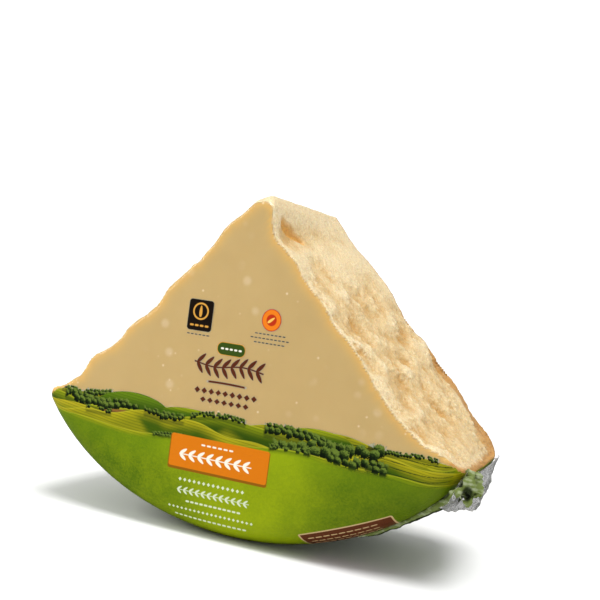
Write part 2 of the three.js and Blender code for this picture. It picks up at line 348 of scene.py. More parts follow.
# %% [markdown]
# ## The bag
# Shrink film follows the cheese but can't enter small hollows, so the bag starts as a copy of the
# finished cheese, is remeshed more coarsely and smoothed, and then each of its points that would lie
# in the cheese is pushed out. Between these points single sharp crumbs still stand out of the film,
# which is clear there. The film covers the crack like a drum skin.

# %% The bag: a film skin round the cheese
FILM_VOXEL = 1.7 * MM
FILM_GAP = 0.25 * MM

film = cheese.copy()
film.data = cheese.data.copy()
film.name = "film_wrap"
bpy.context.scene.collection.objects.link(film)
film.vertex_groups.clear()
for layer in ("crack", "hollow", "dell", "flank", "rind", "edge"):
    film.data.attributes.remove(film.data.attributes[layer])
apply_modifier(film, "REMESH", mode="VOXEL", voxel_size=FILM_VOXEL, use_smooth_shade=True)
apply_modifier(film, "SMOOTH", factor=0.5, iterations=4)
apply_modifier(film, "SHRINKWRAP", target=cheese, wrap_method="NEAREST_SURFACEPOINT",
               wrap_mode="OUTSIDE", offset=FILM_GAP)
apply_modifier(film, "SMOOTH", factor=0.4, iterations=1)
report(film)

# %% [markdown]
# The print is laid out flat, as on the film before it shrinks. On the front its coordinates are
# simply X and Z. Past the heel's rim they go on outwards along the radius by the distance over the
# surface, and across the front edge of a flank they go on square to that edge. The back shows another
# stretch of the same meadow. The coordinates are a UV map in metres.

# %% The bag: coordinates of the print
BACK_SHIFT = 0.31                    # where on the print the middle of the back lies
BACK_FACING = 0.9
RIM_LENGTHEN = 4.4 * MM              # what the rim's curve adds to its depth, for each square radian


def print_coordinates(co, facing):
    """Places on the flat print."""
    at = places(co)
    rim_depth, drop = FRONT_RIM
    rim = heel_radius(np.clip(at["angle"], -HALF_ANGLE, HALF_ANGLE), np.zeros(len(co)))
    past = np.arctan2(np.maximum(0, at["radius"] - rim) / drop,
                      np.maximum(0, 1 - at["depth"] / rim_depth))
    over = drop * past + RIM_LENGTHEN * past**2 + np.maximum(0, at["depth"] - rim_depth)
    reach = np.minimum(at["radius"], rim) + over
    heel = np.stack([reach * np.sin(at["angle"]), CENTRE_Z - reach * np.cos(at["angle"])], axis=1)
    out = at["depth"] * math.cos(HALF_ANGLE)
    flank = np.stack([at["x"] + np.sign(at["x"]) * out, at["z"] + out], axis=1)
    back = np.stack([BACK_SHIFT - at["x"], at["z"]], axis=1)
    flat = np.where((at["side"] > 0)[:, None], heel, flank)
    return np.where((facing[:, 1] > BACK_FACING)[:, None], back, flat)


flat = print_coordinates(positions(film), normals(film))
layer = film.data.uv_layers.new(name="Print")
corners = np.empty(len(film.data.loops), np.int32)
film.data.loops.foreach_get("vertex_index", corners)
layer.uv.foreach_set("vector", flat[corners].astype(np.float32).ravel())
print("the print spans", flat.min(axis=0).round(3), "to", flat.max(axis=0).round(3))

# %% [markdown]
# ## The bag's end
# At the right ridge the bag was longer than the cheese: a flap of empty film hangs there, crumpled,
# and the front part of it is gathered into a twist. The flap starts as the outer skin of the packed
# sheet: the faces that a ray from the right meets first. It is subdivided, its middle swings out a
# little, three displacements crease it, and a thin Solidify makes it film again. Near its root it
# stays put, so that it goes on touching the wedge.

# %% The flap of film
FLAP_CREASES = (("CLOUDS", 16 * MM, 5.0 * MM), ("VORONOI", 9 * MM, 3.2 * MM), ("CLOUDS", 4 * MM, 1.2 * MM))
FLAP_SWING = 3.5 * MM                # how far the middle of the flap swings out from the heel
SWING_TO = np.array((1, 0, -0.6))
HANG = 25 * MM                       # height of the flap below its root
FILM_THICK = 0.15 * MM

flap = merged_copy("film_tail", "film_tail_flap")
bpy.ops.object.mode_set(mode="EDIT")
bpy.ops.mesh.select_mode(type="FACE")
bpy.ops.mesh.select_all(action="DESELECT")
bpy.ops.object.mode_set(mode="OBJECT")
for face in flap.data.polygons:
    outside = face.center + Vector((30 * MM, 0, 0))
    face.select = flap.ray_cast(outside, (-1, 0, 0))[3] != face.index
bpy.ops.object.mode_set(mode="EDIT")
bpy.ops.mesh.delete(type="FACE")
bpy.ops.mesh.select_all(action="SELECT")
bpy.ops.mesh.subdivide(number_cuts=4, smoothness=0.6)
bpy.ops.object.mode_set(mode="OBJECT")
spot = places(positions(flap))
root = CENTRE_Z - heel_radius(HALF_ANGLE, spot["depth"]) * math.cos(HALF_ANGLE)
hang = (root - spot["z"]) / HANG
set_weights(flap, "loose", 0.06 + 0.94 * smooth(0.0, 0.4, hang))
swing = smooth(20 * MM, 50 * MM, spot["depth"]) * (1 - smooth(60 * MM, 104 * MM, spot["depth"]))
swing *= FLAP_SWING * smooth(0, 0.5, hang)
move_to(flap, positions(flap) + swing[:, None] * SWING_TO)
for kind, size, height in FLAP_CREASES:
    displace(flap, relief_texture(kind, size), height, group="loose")
apply_modifier(flap, "SOLIDIFY", thickness=FILM_THICK, offset=0)
report(flap)

# %% [markdown]
# The twist is a knot of printed film, about 20 mm high. The imported fold, a little smaller, is its
# core. A ring of film stands in front of it, so that a mouth opens in its middle, painted dark as
# shade, and lobes are the ends that stick out; the last lobe lies behind the ring and fills the mouth
# with that painted shade. A fine remesh joins them, and a marble texture pleats the skin.

# %% The twist of film
KNOT = Vector((138.4, -52.5, 58.5)) * MM
KNOT_FACING = (math.radians(90), math.radians(8), math.radians(30))
RING_SIZES, RING_STRETCH = (5.2 * MM, 1.6 * MM), (0.78, 1.08, 1)
CORE_SHARE, CORE_MOVED = 0.8, np.array((-1.0, 1.5, 0)) * MM
FINE_VOXEL = 0.45 * MM
LOBES = (                            # middle from the knot, half sizes, turn in degrees about Y
    ((2.2, 0.6, 9.6), (6.4, 2.0, 3.0), 24),
    ((5.4, 1.0, 3.2), (2.4, 1.6, 6.4), -14),
    ((2.2, 0.0, -5.0), (2.0, 1.4, 4.6), 18),
    ((-5.0, -5.0, -0.6), (5.4, 2.2, 3.4), -38),
    ((0.0, 3.0, 0.0), (4.4, 1.4, 6.0), 0),
)


def add_lobe(offset, half_sizes, turn):
    """A flattened ball near the knot. Offset and half sizes are in mm."""
    bpy.ops.mesh.primitive_uv_sphere_add(segments=28, ring_count=16, radius=MM)
    lobe = bpy.context.object
    lobe.scale = half_sizes
    lobe.rotation_euler = (0, math.radians(turn), 0)
    lobe.location = KNOT + Vector(offset) * MM
    bpy.ops.object.transform_apply()
    return lobe


twist = merged_copy("film_fold", "film_fold_twist")
middle = positions(twist).mean(axis=0) + CORE_MOVED
move_to(twist, middle + (positions(twist) - middle) * CORE_SHARE)
bpy.ops.mesh.primitive_torus_add(major_segments=48, minor_segments=16, major_radius=RING_SIZES[0],
                                 minor_radius=RING_SIZES[1])
ring = bpy.context.object
ring.scale = RING_STRETCH
ring.rotation_euler = KNOT_FACING
ring.location = KNOT
bpy.ops.object.transform_apply()
extras = [ring, *(add_lobe(*lobe) for lobe in LOBES)]
select_only(twist)
for extra in extras:
    extra.select_set(True)
bpy.ops.object.join()
apply_modifier(twist, "REMESH", mode="VOXEL", voxel_size=FINE_VOXEL, use_smooth_shade=True)
pleats = bpy.data.textures.new("pleats", "MARBLE")
pleats.noise_scale, pleats.turbulence, pleats.marble_type = 8 * MM, 7, "SHARP"
displace(twist, pleats, 2.2 * MM, middle=0.6)
displace(twist, relief_texture("CLOUDS", 4 * MM), 1.4 * MM)
apply_modifier(twist, "SMOOTH", factor=0.4, iterations=1)
report(twist)

# %% [markdown]
# From the twist a rolled seam runs to the left along the heel, where the film was gathered. It is a
# curve with a round bevel, thickest near the twist, that becomes a mesh and gets uneven and pleated.

# %% The rolled seam
SEAM = (                             # angle from the middle, depth, height over the heel, half width
    (22.0, 21.0, 0.0, 0.4), (25.0, 21.5, 0.4, 1.1), (28.0, 22.0, 0.7, 1.6), (31.0, 22.5, 0.9, 1.9),
    (34.0, 22.0, 1.1, 2.2), (36.5, 20.5, 1.8, 2.6), (38.5, 18.0, 3.2, 3.0), (40.2, 15.0, 4.6, 3.2),
    (41.6, 12.5, 5.0, 3.0),
)
SEAM_VOXEL = 0.5 * MM

curve = bpy.data.curves.new("seam", "CURVE")
curve.dimensions, curve.bevel_depth, curve.bevel_resolution = "3D", MM, 5
curve.resolution_u, curve.use_fill_caps = 8, True
spline = curve.splines.new("NURBS")
spline.points.add(len(SEAM) - 1)
spline.use_endpoint_u, spline.order_u = True, 4
for point, (degrees, depth, lift, half_width) in zip(spline.points, SEAM):
    angle, depth = math.radians(degrees), depth * MM
    reach = float(heel_radius(angle, depth)) + lift * MM
    point.co = (reach * math.sin(angle), FRONT_Y + depth, CENTRE_Z - reach * math.cos(angle), 1)
    point.radius = half_width
seam = bpy.data.objects.new("film_heel_seam", curve)
bpy.context.scene.collection.objects.link(seam)
select_only(seam)
bpy.ops.object.convert(target="MESH")
seam = bpy.context.object
apply_modifier(seam, "REMESH", mode="VOXEL", voxel_size=SEAM_VOXEL, use_smooth_shade=True)
displace(seam, relief_texture("CLOUDS", 9 * MM), 1.6 * MM)
displace(seam, pleats, 0.7 * MM)
report(seam)

# %% [markdown]
# Gathered film gets painted shade where it folds inwards. The attribute `fold`, the amount of that
# painted shade, is high deep in the twist's mouth, in the pleats, and on the side of the seam that
# faces away from the heel.

# %% The folds of the gathered film
MOUTH, MOUTH_HALF = np.array(KNOT) + np.array((0.5, 0, -0.5)) * MM, (2.6 * MM, 4.6 * MM)
HEEL_OUTWARD = np.array((0.57, 0, -0.82))
FOLD_SHADE_FACING = (0.3, 0.62)              # the seam gets painted shade where it faces outward this much


def sunken(piece, times, reach):
    """How far a skin lies below its smoothed self: 0 on crests, 1 in hollows deeper than reach."""
    co = positions(piece)
    return smooth(0, reach, ((smoothed(piece, co, times) - co) * normals(piece)).sum(axis=1))


from_mouth = positions(twist) - MOUTH
off = np.hypot(from_mouth[:, 0] / MOUTH_HALF[0], from_mouth[:, 2] / MOUTH_HALF[1])
in_mouth = 1 - smooth(0.7, 1.25, off)
set_attribute(twist, "fold", np.maximum(in_mouth, 0.85 * sunken(twist, 12, 0.7 * MM)))
outward = smooth(*FOLD_SHADE_FACING, normals(seam) @ HEEL_OUTWARD)
set_attribute(seam, "fold", np.maximum(outward, sunken(seam, 10, 0.5 * MM)))
print(int((in_mouth > 0.5).sum()), "points lie in the mouth of the twist")

# %% [markdown]
# ## Words for materials
# A pattern is arithmetic on the surface: where am I, and how far from this line? Math nodes do that,
# but a wall of them is hard to read. A Field holds the output of a node, and a sum or product of
# fields adds the Math node for it, so that a formula in the script becomes nodes in the material.

# %% Helpers for materials


def srgb(red, green, blue):
    """A colour given as 0 to 255 on the screen, as the linear colour that nodes use."""
    linear = [
        c / 12.92 if c <= 0.04045 else ((c + 0.055) / 1.055) ** 2.4
        for c in (red / 255, green / 255, blue / 255)
    ]
    return (*linear, 1)


def connect(tree, socket, value):
    """Links a field to a socket, or sets the socket to a number or a colour."""
    if isinstance(value, Field):
        tree.links.new(value.socket, socket)
    else:
        socket.default_value = value


class Field:
    """A value that changes over the surface: the output of a node."""

    def __init__(self, tree, socket):
        self.tree, self.socket = tree, socket

    def calc(self, operation, *others):
        return node(self.tree, "Math", self, *others, operation=operation)

    def __add__(self, other):
        return self.calc("ADD", other)

    def __sub__(self, other):
        return self.calc("SUBTRACT", other)

    def __rsub__(self, other):
        return self * -1 + other

    def __mul__(self, other):
        return self.calc("MULTIPLY", other)

    def __truediv__(self, other):
        return self.calc("DIVIDE", other)

    def __abs__(self):
        return self.calc("ABSOLUTE")

    def most(self, other):
        return self.calc("MAXIMUM", other)

    def least(self, other):
        return self.calc("MINIMUM", other)

    def smooth(self, low, high):
        """0 below low, 1 above high. From high to low it runs the other way."""
        if low > high:
            return 1 - self.smooth(high, low)
        return node(self.tree, "MapRange", self, low, high, 0.0, 1.0,
                    interpolation_type="SMOOTHSTEP", clamp=False)

    __radd__ = __add__
    __rmul__ = __mul__


def node(tree, kind, *values, take=0, **settings):
    """Adds a node, sets and links its inputs in their order, and returns one of its outputs."""
    made = tree.nodes.new("ShaderNode" + kind)
    for key, value in settings.items():
        setattr(made, key, value)
    for socket, value in zip(made.inputs, values):
        if value is not None:
            connect(tree, socket, value)
    return Field(tree, made.outputs[take])


def parts(place):
    """The x, y and z of a place."""
    split = node(place.tree, "SeparateXYZ", place)
    return [Field(place.tree, socket) for socket in split.socket.node.outputs]


def noise(place, scale, detail=2.0, roughness=0.5):
    """Clouds between 0 and 1, scale of them in one unit of the place."""
    return node(place.tree, "TexNoise", place, None, scale, detail, roughness)


def grains(place, scale, low, high):
    """Round spots at random points, 1 within low of a point and 0 beyond high."""
    return node(place.tree, "TexVoronoi", place, None, scale).smooth(high, low)


def scaled(place, *scale):
    """The same place, with x, y and z each multiplied by a number."""
    return node(place.tree, "Mapping", place, None, None, scale)


def mix(factor, first, second):
    """The first colour where factor is 0, the second where it is 1."""
    tree = next(value.tree for value in (factor, first, second) if isinstance(value, Field))
    made = tree.nodes.new("ShaderNodeMix")
    made.data_type = "RGBA"
    for name, value in (("Factor_Float", factor), ("A_Color", first), ("B_Color", second)):
        connect(tree, next(s for s in made.inputs if s.identifier == name), value)
    return Field(tree, next(s for s in made.outputs if s.identifier == "Result_Color"))


def define(name, formula, outputs, **inputs):
    """Makes a shader group from a formula. An input's value here is its default, None for a place."""
    tree = bpy.data.node_groups.new(name, "ShaderNodeTree")
    for title, default in inputs.items():
        kind = "NodeSocketVector" if default is None else "NodeSocketFloat"
        socket = tree.interface.new_socket(title.replace("_", " "), in_out="INPUT", socket_type=kind)
        if default is not None:
            socket.default_value = default
    for title, kind in outputs.items():
        tree.interface.new_socket(title, in_out="OUTPUT", socket_type="NodeSocket" + kind)
    source = tree.nodes.new("NodeGroupInput")
    given = {title: Field(tree, source.outputs[title.replace("_", " ")]) for title in inputs}
    target = tree.nodes.new("NodeGroupOutput")
    for title, value in zip(outputs, formula(**given)):
        connect(tree, target.inputs[title], value)
    print("group", name, "with", len(tree.nodes), "nodes")


def use(name, *values):
    """Places a group where its first value is. Returns its outputs, one alone or several in a list."""
    tree = values[0].tree
    made = tree.nodes.new("ShaderNodeGroup")
    made.node_tree = bpy.data.node_groups[name]
    for socket, value in zip(made.inputs, values):
        connect(tree, socket, value)
    fields = [Field(tree, socket) for socket in made.outputs]
    return fields[0] if len(fields) == 1 else fields


def in_millimetres(place):
    """The same place, counted in millimetres."""
    return scaled(place, 1000.0, 1000.0, 1000.0)


def new_material(name):
    """A material with one Principled shader, and the object coordinates."""
    material = bpy.data.materials.new(name)
    material.use_nodes = True
    tree = material.node_tree
    shader = tree.nodes["Principled BSDF"]
    place = node(tree, "TexCoord", take=3)
    return material, tree, shader, place


def finish_with(tree, shader, **values):
    """Sets or links the shader's sockets by name, with _ for a space."""
    for title, value in values.items():
        connect(tree, shader.inputs[title.replace("_", " ")], value)


def bump(height, strength, distance):
    """A normal that looks as if the surface had this height, times the distance."""
    return node(height.tree, "Bump", strength, distance, None, height)


def attribute(tree, name):
    """An attribute of the mesh, as set_attribute stored it."""
    return node(tree, "Attribute", attribute_name=name, take=2)


# %% [markdown]
# ## The cheese's own look
# Aged hard cheese is matt and slightly see-through: light goes a few millimetres in and comes back
# warmer, which is what subsurface scattering gives. The wire-cut front is an even tan with faint
# clouds and a few white crystals, and a painted golden glow near its edges, where it is thin and light
# shines through. The broken flanks are paler straw, with painted shade in their hollows, painted
# highlights where they stand out, and painted glints. The rind side darkens to an orange tan over a
# few millimetres.

# %% Material: hard cheese
FRONT_TAN, FRONT_GOLD, EDGE_GLOW_GOLD = srgb(196, 166, 105), srgb(204, 175, 114), srgb(228, 180, 88)
FLANK_STRAW, FLANK_TAN_AND_SHADE, FLANK_CREAM_AND_HIGHLIGHT = srgb(230, 205, 154), srgb(206, 166, 100), srgb(246, 230, 190)
HOLLOW_SHADE_TAN, CRACK_ORANGE, GRAIN_TAN = srgb(208, 156, 76), srgb(228, 168, 70), srgb(200, 156, 90)
RIND_TAN, RIND_PALE, RIND_DARK = srgb(194, 138, 62), srgb(208, 164, 98), srgb(172, 120, 58)
CRYSTAL_AND_GLINT_WHITE = srgb(246, 230, 196)


def front_colour(place, cloud, edge):
    """The wire-cut front: faint clouds, a painted golden glow along the thin edge, blurred blobs and small
    crystals.
    """
    colour = mix((cloud - 0.35) * 1.3, FRONT_TAN, FRONT_GOLD)
    # painted glow: light shining through the thin edge is painted in as a golden band
    colour = mix(edge.smooth(0.15, 0.9) * 0.65, colour, EDGE_GLOW_GOLD)
    blobs = grains(place, 75, 0.08, 0.3) * noise(place, 30).smooth(0.45, 0.6)
    colour = mix(blobs * 0.25, colour, CRYSTAL_AND_GLINT_WHITE)
    specks = grains(place, 150, 0.05, 0.17) * noise(place, 60).smooth(0.5, 0.6)
    return mix(specks * 0.55, colour, CRYSTAL_AND_GLINT_WHITE)


def flank_colour(place, cloud, patch, fibres, hollow, dell):
    """The broken flank: painted shade in tan where it lies deep and a painted highlight in cream where it
    stands out, with pits and painted glints.
    """
    colour = mix(patch.smooth(0.46, 0.66) * 0.6, FLANK_STRAW, FLANK_TAN_AND_SHADE)
    # painted shade in tan in broad dells and small hollows; painted highlight in cream where the flank
    # stands out
    colour = mix(dell.smooth(0.0, 1.1) * 0.8, colour, FLANK_TAN_AND_SHADE)
    colour = mix(dell.smooth(-0.1, -1.3) * 0.7, colour, FLANK_CREAM_AND_HIGHLIGHT)
    colour = mix(hollow.smooth(0.15, 1.1) * 0.8, colour, HOLLOW_SHADE_TAN)
    colour = mix(hollow.smooth(-0.1, -0.8) * patch.smooth(0.62, 0.4) * 0.8, colour, FLANK_CREAM_AND_HIGHLIGHT)
    colour = mix(fibres.smooth(0.5, 0.72) * 0.35, colour, FLANK_CREAM_AND_HIGHLIGHT)
    colour = mix(grains(place, 300, 0.05, 0.2) * patch.smooth(0.4, 0.6) * 0.6, colour, GRAIN_TAN)
    # painted glints: white specks over the flank, in the same white as the front's crystals
    aside = node(place.tree, "Mapping", place, (0.1, 0.2, 0.3))
    return mix(grains(aside, 340, 0.05, 0.16) * cloud.smooth(0.4, 0.6) * 0.6, colour, CRYSTAL_AND_GLINT_WHITE)


def cheese_material():
    material, tree, shader, place = new_material("hard cheese")
    flank, rind = attribute(tree, "flank"), attribute(tree, "rind")
    hollow, dell = attribute(tree, "hollow"), attribute(tree, "dell")
    cloud, patch, grain = noise(place, 55, 3), noise(place, 90, 4, 0.6), noise(place, 900, 3, 0.6)
    fibres = noise(scaled(place, 420.0, 420.0, 110.0), 1.0, 3, 0.6)

    front = front_colour(place, cloud, attribute(tree, "edge"))
    colour = mix(flank, front, flank_colour(place, cloud, patch, fibres, hollow, dell))
    crust = patch.smooth(0.3, 0.8) * 0.5 + fibres.smooth(0.5, 0.7) * 0.3
    crust = mix(crust, RIND_TAN, RIND_PALE)
    crust = mix(grain.smooth(0.5, 0.68) * cloud.smooth(0.4, 0.6) * 0.5, crust, RIND_DARK)
    colour = mix(rind.smooth(0.0, 0.75) * 0.95, colour, crust)
    colour = mix(attribute(tree, "crack") * 0.85, colour, CRACK_ORANGE)
    colour = mix(grain.smooth(0.4, 0.62) * (0.06 + flank * 0.3), colour, GRAIN_TAN)

    crumbs = node(tree, "TexVoronoi", place, None, 420)
    rough = grain * 1.1 + fibres * 2.2 + crumbs * 1.4
    height = grain * 0.08 + rough * flank + cloud * 0.2
    finish_with(
        tree, shader, Base_Color=colour, Roughness=0.5 - flank * 0.14 + grain * 0.12,
        Subsurface_Weight=0.14, Subsurface_Radius=(1.0, 0.55, 0.25), Subsurface_Scale=0.003,
        Normal=bump(height, 0.85, 0.5 * MM))
    return material


cheese.data.materials.append(cheese_material())
print("cheese colour from", len(cheese.data.materials[0].node_tree.nodes), "nodes")

# %% [markdown]
# ## The print
# The bag is printed before it shrinks: a green meadow with rolling hills and trees round the heel,
# and a few small ornaments on the clear part. All of it is drawn by formulas in millimetres on the
# print map, as shapes laid over each other: a shape is a mask, and a mask mixes in its colour. Each
# kind of shape is a group, so that one shape more is only a few nodes more.

# %% Shapes of the print
SOFT = 0.22                          # mm over which a printed edge fades


def turned(x, y, at_x, at_y, cos, sin):
    """The same place measured from a centre, along axes turned by an angle."""
    a, b = x - at_x, y - at_y
    return a * cos + b * sin, b * cos - a * sin


def turned_in_group(x, y, at_x, at_y, turn):
    """The same, with the angle given to a group."""
    return turned(x, y, at_x, at_y, turn.calc("COSINE"), turn.calc("SINE"))


def disc(x, y, at_x, at_y, half_width, half_height):
    """An oval. All shapes are masks: 1 inside and 0 outside."""
    a, b = (x - at_x) / half_width, (y - at_y) / half_height
    off = ((a * a + b * b).calc("SQRT") - 1) * half_width
    return (off.smooth(SOFT, -SOFT),)


def panel(x, y, at_x, at_y, half_width, half_height, corner, turn):
    """A rectangle with round corners."""
    a, b = turned_in_group(x, y, at_x, at_y, turn)
    a = (abs(a) - half_width + corner).most(0.0)
    b = (abs(b) - half_height + corner).most(0.0)
    return (((a * a + b * b).calc("SQRT") - corner).smooth(SOFT, -SOFT),)


def leaf(x, y, at_x, at_y, length, width, turn):
    """A pointed leaf that grows from its foot."""
    a, b = turned_in_group(x, y, at_x, at_y, turn)
    share = (a / length).most(0.0).least(1.0)
    half = (share * (1 - share)).calc("SQRT") * width * (1.25 - share * 0.5)
    return ((abs(b) - half).smooth(SOFT, -SOFT) * a.smooth(-0.1, 0.1) * (a - length).smooth(0.1, -0.1),)


def in_row(x, at_x, count, pitch):
    """Place within one unit of a row, from its middle, and whether the row goes on there."""
    a = x - at_x
    inside = (abs(a) - count * pitch / 2).smooth(0.05, -0.05)
    return ((a / pitch + count / 2).calc("FRACT") - 0.5) * pitch, inside


def lozenges(x, y, at_x, at_y, count, pitch, half_width, half_height):
    a, inside = in_row(x, at_x, count, pitch)
    return ((abs(a) / half_width + abs(y - at_y) / half_height).smooth(1.12, 0.88) * inside,)


def dashes(x, y, at_x, at_y, count, pitch, half_width, half_height):
    a, inside = in_row(x, at_x, count, pitch)
    a, b = (abs(a) - half_width + half_height).most(0.0), y - at_y
    return (((a * a + b * b).calc("SQRT") - half_height).smooth(SOFT, -SOFT) * inside,)


def garland(x, y, at_x, at_y, count, pitch, length, width, turn):
    """A level stem with a pair of pointed leaves in each unit."""
    a, inside = in_row(x, at_x, count, pitch)
    b = abs(y - at_y)
    pair = use("leaf", a, b, pitch * -0.42, pitch * 0.02, length, width, turn)
    return ((b - width * 0.16).smooth(SOFT, -SOFT).most(pair) * inside,)


SPOT = {"x": 0.0, "y": 0.0, "at_x": 0.0, "at_y": 0.0}
MASK = {"mask": "Float"}
define("disc", disc, MASK, **SPOT, half_width=1.0, half_height=1.0)
define("panel", panel, MASK, **SPOT, half_width=1.0, half_height=1.0, corner=0.5, turn=0.0)
define("leaf", leaf, MASK, **SPOT, length=1.0, width=1.0, turn=0.0)
define("lozenges", lozenges, MASK, **SPOT, count=1.0, pitch=1.0, half_width=1.0, half_height=1.0)
define("dashes", dashes, MASK, **SPOT, count=1.0, pitch=1.0, half_width=1.0, half_height=1.0)
define("garland", garland, MASK, **SPOT, count=1.0, pitch=4.0, length=4.0, width=1.0, turn=0.6)

# %% [markdown]
# The meadow is a stack of ridges, each with a crest line made of two waves. A ridge is lit along its
# crest and darker at its foot, with stripes of mown rows, and single hills rise behind some ridges.
# Trees stand along the crests: the row is cut into places, each place draws a random number, and that
# sets the size and the spot of a crown. A crown is dark below and on its left, and light at its upper
# right. The numbers in these tables all differ a little on purpose. Blender merges nodes that are
# equal, and a long chain of colours that waits for a merged node fills the shader's memory.

# %% The meadow
RIDGES = (
    # mean height, then (wave height, wave length, shift) twice, colour at the crest and at the foot
    (75.0, (2.3, 128, 24), (1.3, 47, 9), srgb(148, 142, 14), srgb(78, 98, 2)),
    (71.0, (3.4, 171, -38), (1.2, 58, 30), srgb(128, 140, 4), srgb(46, 72, 0)),
    (66.0, (3.6, 143, 60), (1.1, 39, 4), srgb(162, 152, 14), srgb(58, 84, 0)),
    (60.0, (3.0, 232, -10), (0.8, 71, 20), srgb(118, 136, 0), srgb(80, 108, 0)),
)
HILLS = (
    # drawn behind this ridge, x and y of its middle, half width, half height, crest, foot
    (1, -70.2, 67.3, 27, 12.4, srgb(92, 122, 8), srgb(36, 66, 4)),
    (1, -30.4, 71.8, 20, 4.4, srgb(132, 146, 10), srgb(60, 92, 2)),
    (2, -76.6, 62.1, 17, 5.3, srgb(132, 92, 40), srgb(84, 58, 24)),
    (2, -116.7, 57.4, 32, 9.2, srgb(166, 154, 22), srgb(84, 108, 0)),
    (2, -47.3, 60.7, 16, 8.6, srgb(96, 126, 12), srgb(34, 66, 4)),
    (1, 52.3, 72.6, 20, 6, srgb(140, 150, 12), srgb(50, 80, 2)),
    (2, 104.6, 64.8, 16.5, 6.2, srgb(152, 146, 16), srgb(70, 96, 0)),
    (2, 236.7, 66.2, 24, 9.4, srgb(110, 132, 8), srgb(40, 70, 2)),
    (1, 356.3, 71.5, 26, 8.3, srgb(140, 148, 12), srgb(50, 82, 2)),
)
TREES = (
    # ridge, from x, to x, height over the crest, size of a crown, share of places that hold a tree
    (0, -122.4, -96.3, 0.2, 1.4, 0.8),
    (0, -104.2, -86.1, 0.4, 2.0, 0.8),
    (1, -119.6, -66.3, 1.9, 3.1, 0.92),
    (2, -103.4, -84.7, 0.5, 1.5, 0.5),
    (2, -62.2, -34.1, 0.7, 2.2, 0.8),
    (3, -54.3, -33.2, -0.4, 1.6, 0.9),
    (1, -30.4, 6.2, 0.6, 1.55, 0.8),
    (0, 30.5, 52.1, 0.2, 1.45, 0.5),
    (1, 18.3, 66.2, 0.8, 2.8, 0.9),
    (2, 24.6, 92.3, 1.4, 4.3, 0.85),
    (0, 84.4, 122.5, 0.3, 1.3, 0.9),
    (3, 22.7, 48.4, 0.6, 1.8, 0.5),
    (3, 58.2, 94.7, 1.5, 3.4, 0.7),
    (2, 200.8, 268.5, 1.0, 2.7, 0.8),
    (1, 320.9, 392.8, 0.5, 2.25, 0.8),
)
CROWN_DARK, CROWN_MID, CROWN_LIGHT = srgb(10, 22, 4), srgb(34, 52, 10), srgb(96, 116, 40)
FIELD_DARK, FIELD_RIPE, CREST_LIT = srgb(52, 76, 0), srgb(164, 156, 12), srgb(182, 176, 44)
GRASS_LIGHT, GRASS_DEEP = srgb(118, 136, 0), srgb(64, 96, 0)
GRASS_FRESH, GRASS_SHADE = srgb(112, 140, 0), srgb(60, 80, 4)
GRASS_SUNNY = srgb(160, 176, 0)
HEDGE = (68, 132, 3.4)               # from x, to x, distance between the hedges of the right fields


def crest(x, ridge):
    """Height of a ridge's crest line at x."""
    height = ridge[0]
    for size, length, shift in ridge[1:3]:
        height = ((x - shift) * (2 * math.pi / length)).calc("SINE") * size + height
    return height


def tree_row(x, over, wobble, start, end, size, share, shift):
    """Crowns along a line, in two lines one behind the other. Over is the height above the line."""
    along = x - start
    among = along.smooth(-1, 1) * (x - end).smooth(1, -1)
    shadow = (over + size).smooth(0.6, -0.2) * (over + size * 2).smooth(-1, 0.5) * among * 0.5
    pitch = size * 1.35              # distance between the middles of two crowns
    steps = along / pitch + shift
    uneven = wobble * size * 0.9     # makes the outline of a crown ragged
    mask = colour = None
    for behind, rise in ((0.0, 0.55), (0.5, -0.25)):
        step = steps + behind
        number = step.calc("FLOOR")
        seed = number + (behind + shift) * 31.7
        chance = node(x.tree, "TexWhiteNoise", None, seed, noise_dimensions="1D")
        aside = chance - 0.5
        radius = size * (chance * 0.5 + 0.55)
        a = (step - number - 0.5) * pitch + aside * size * 0.5
        b = over - size * rise + aside * size * 0.6
        off = (a * a + b * b * 1.2).calc("SQRT") - radius + uneven
        crown = off.smooth(0.25, -0.15) * (chance - 1 + share).smooth(-0.02, 0.02) * among
        light = ((b * 0.8 + a * 0.35) / radius + 0.5 + wobble).smooth(0.1, 1.25)
        shade = mix(light.smooth(0, 0.5), CROWN_DARK, CROWN_MID)
        shade = mix(light.smooth(0.45, 1.0), shade, CROWN_LIGHT)
        mask, colour = (mask.most(crown), mix(crown, colour, shade)) if mask else (crown, shade)
    return mask, colour, shadow


define("tree row", tree_row, {"mask": "Float", "colour": "Color", "shadow": "Float"},
       x=0.0, over=0.0, wobble=0.0, start=0.0, end=9.0, size=2.0, share=1.0, shift=0.0)


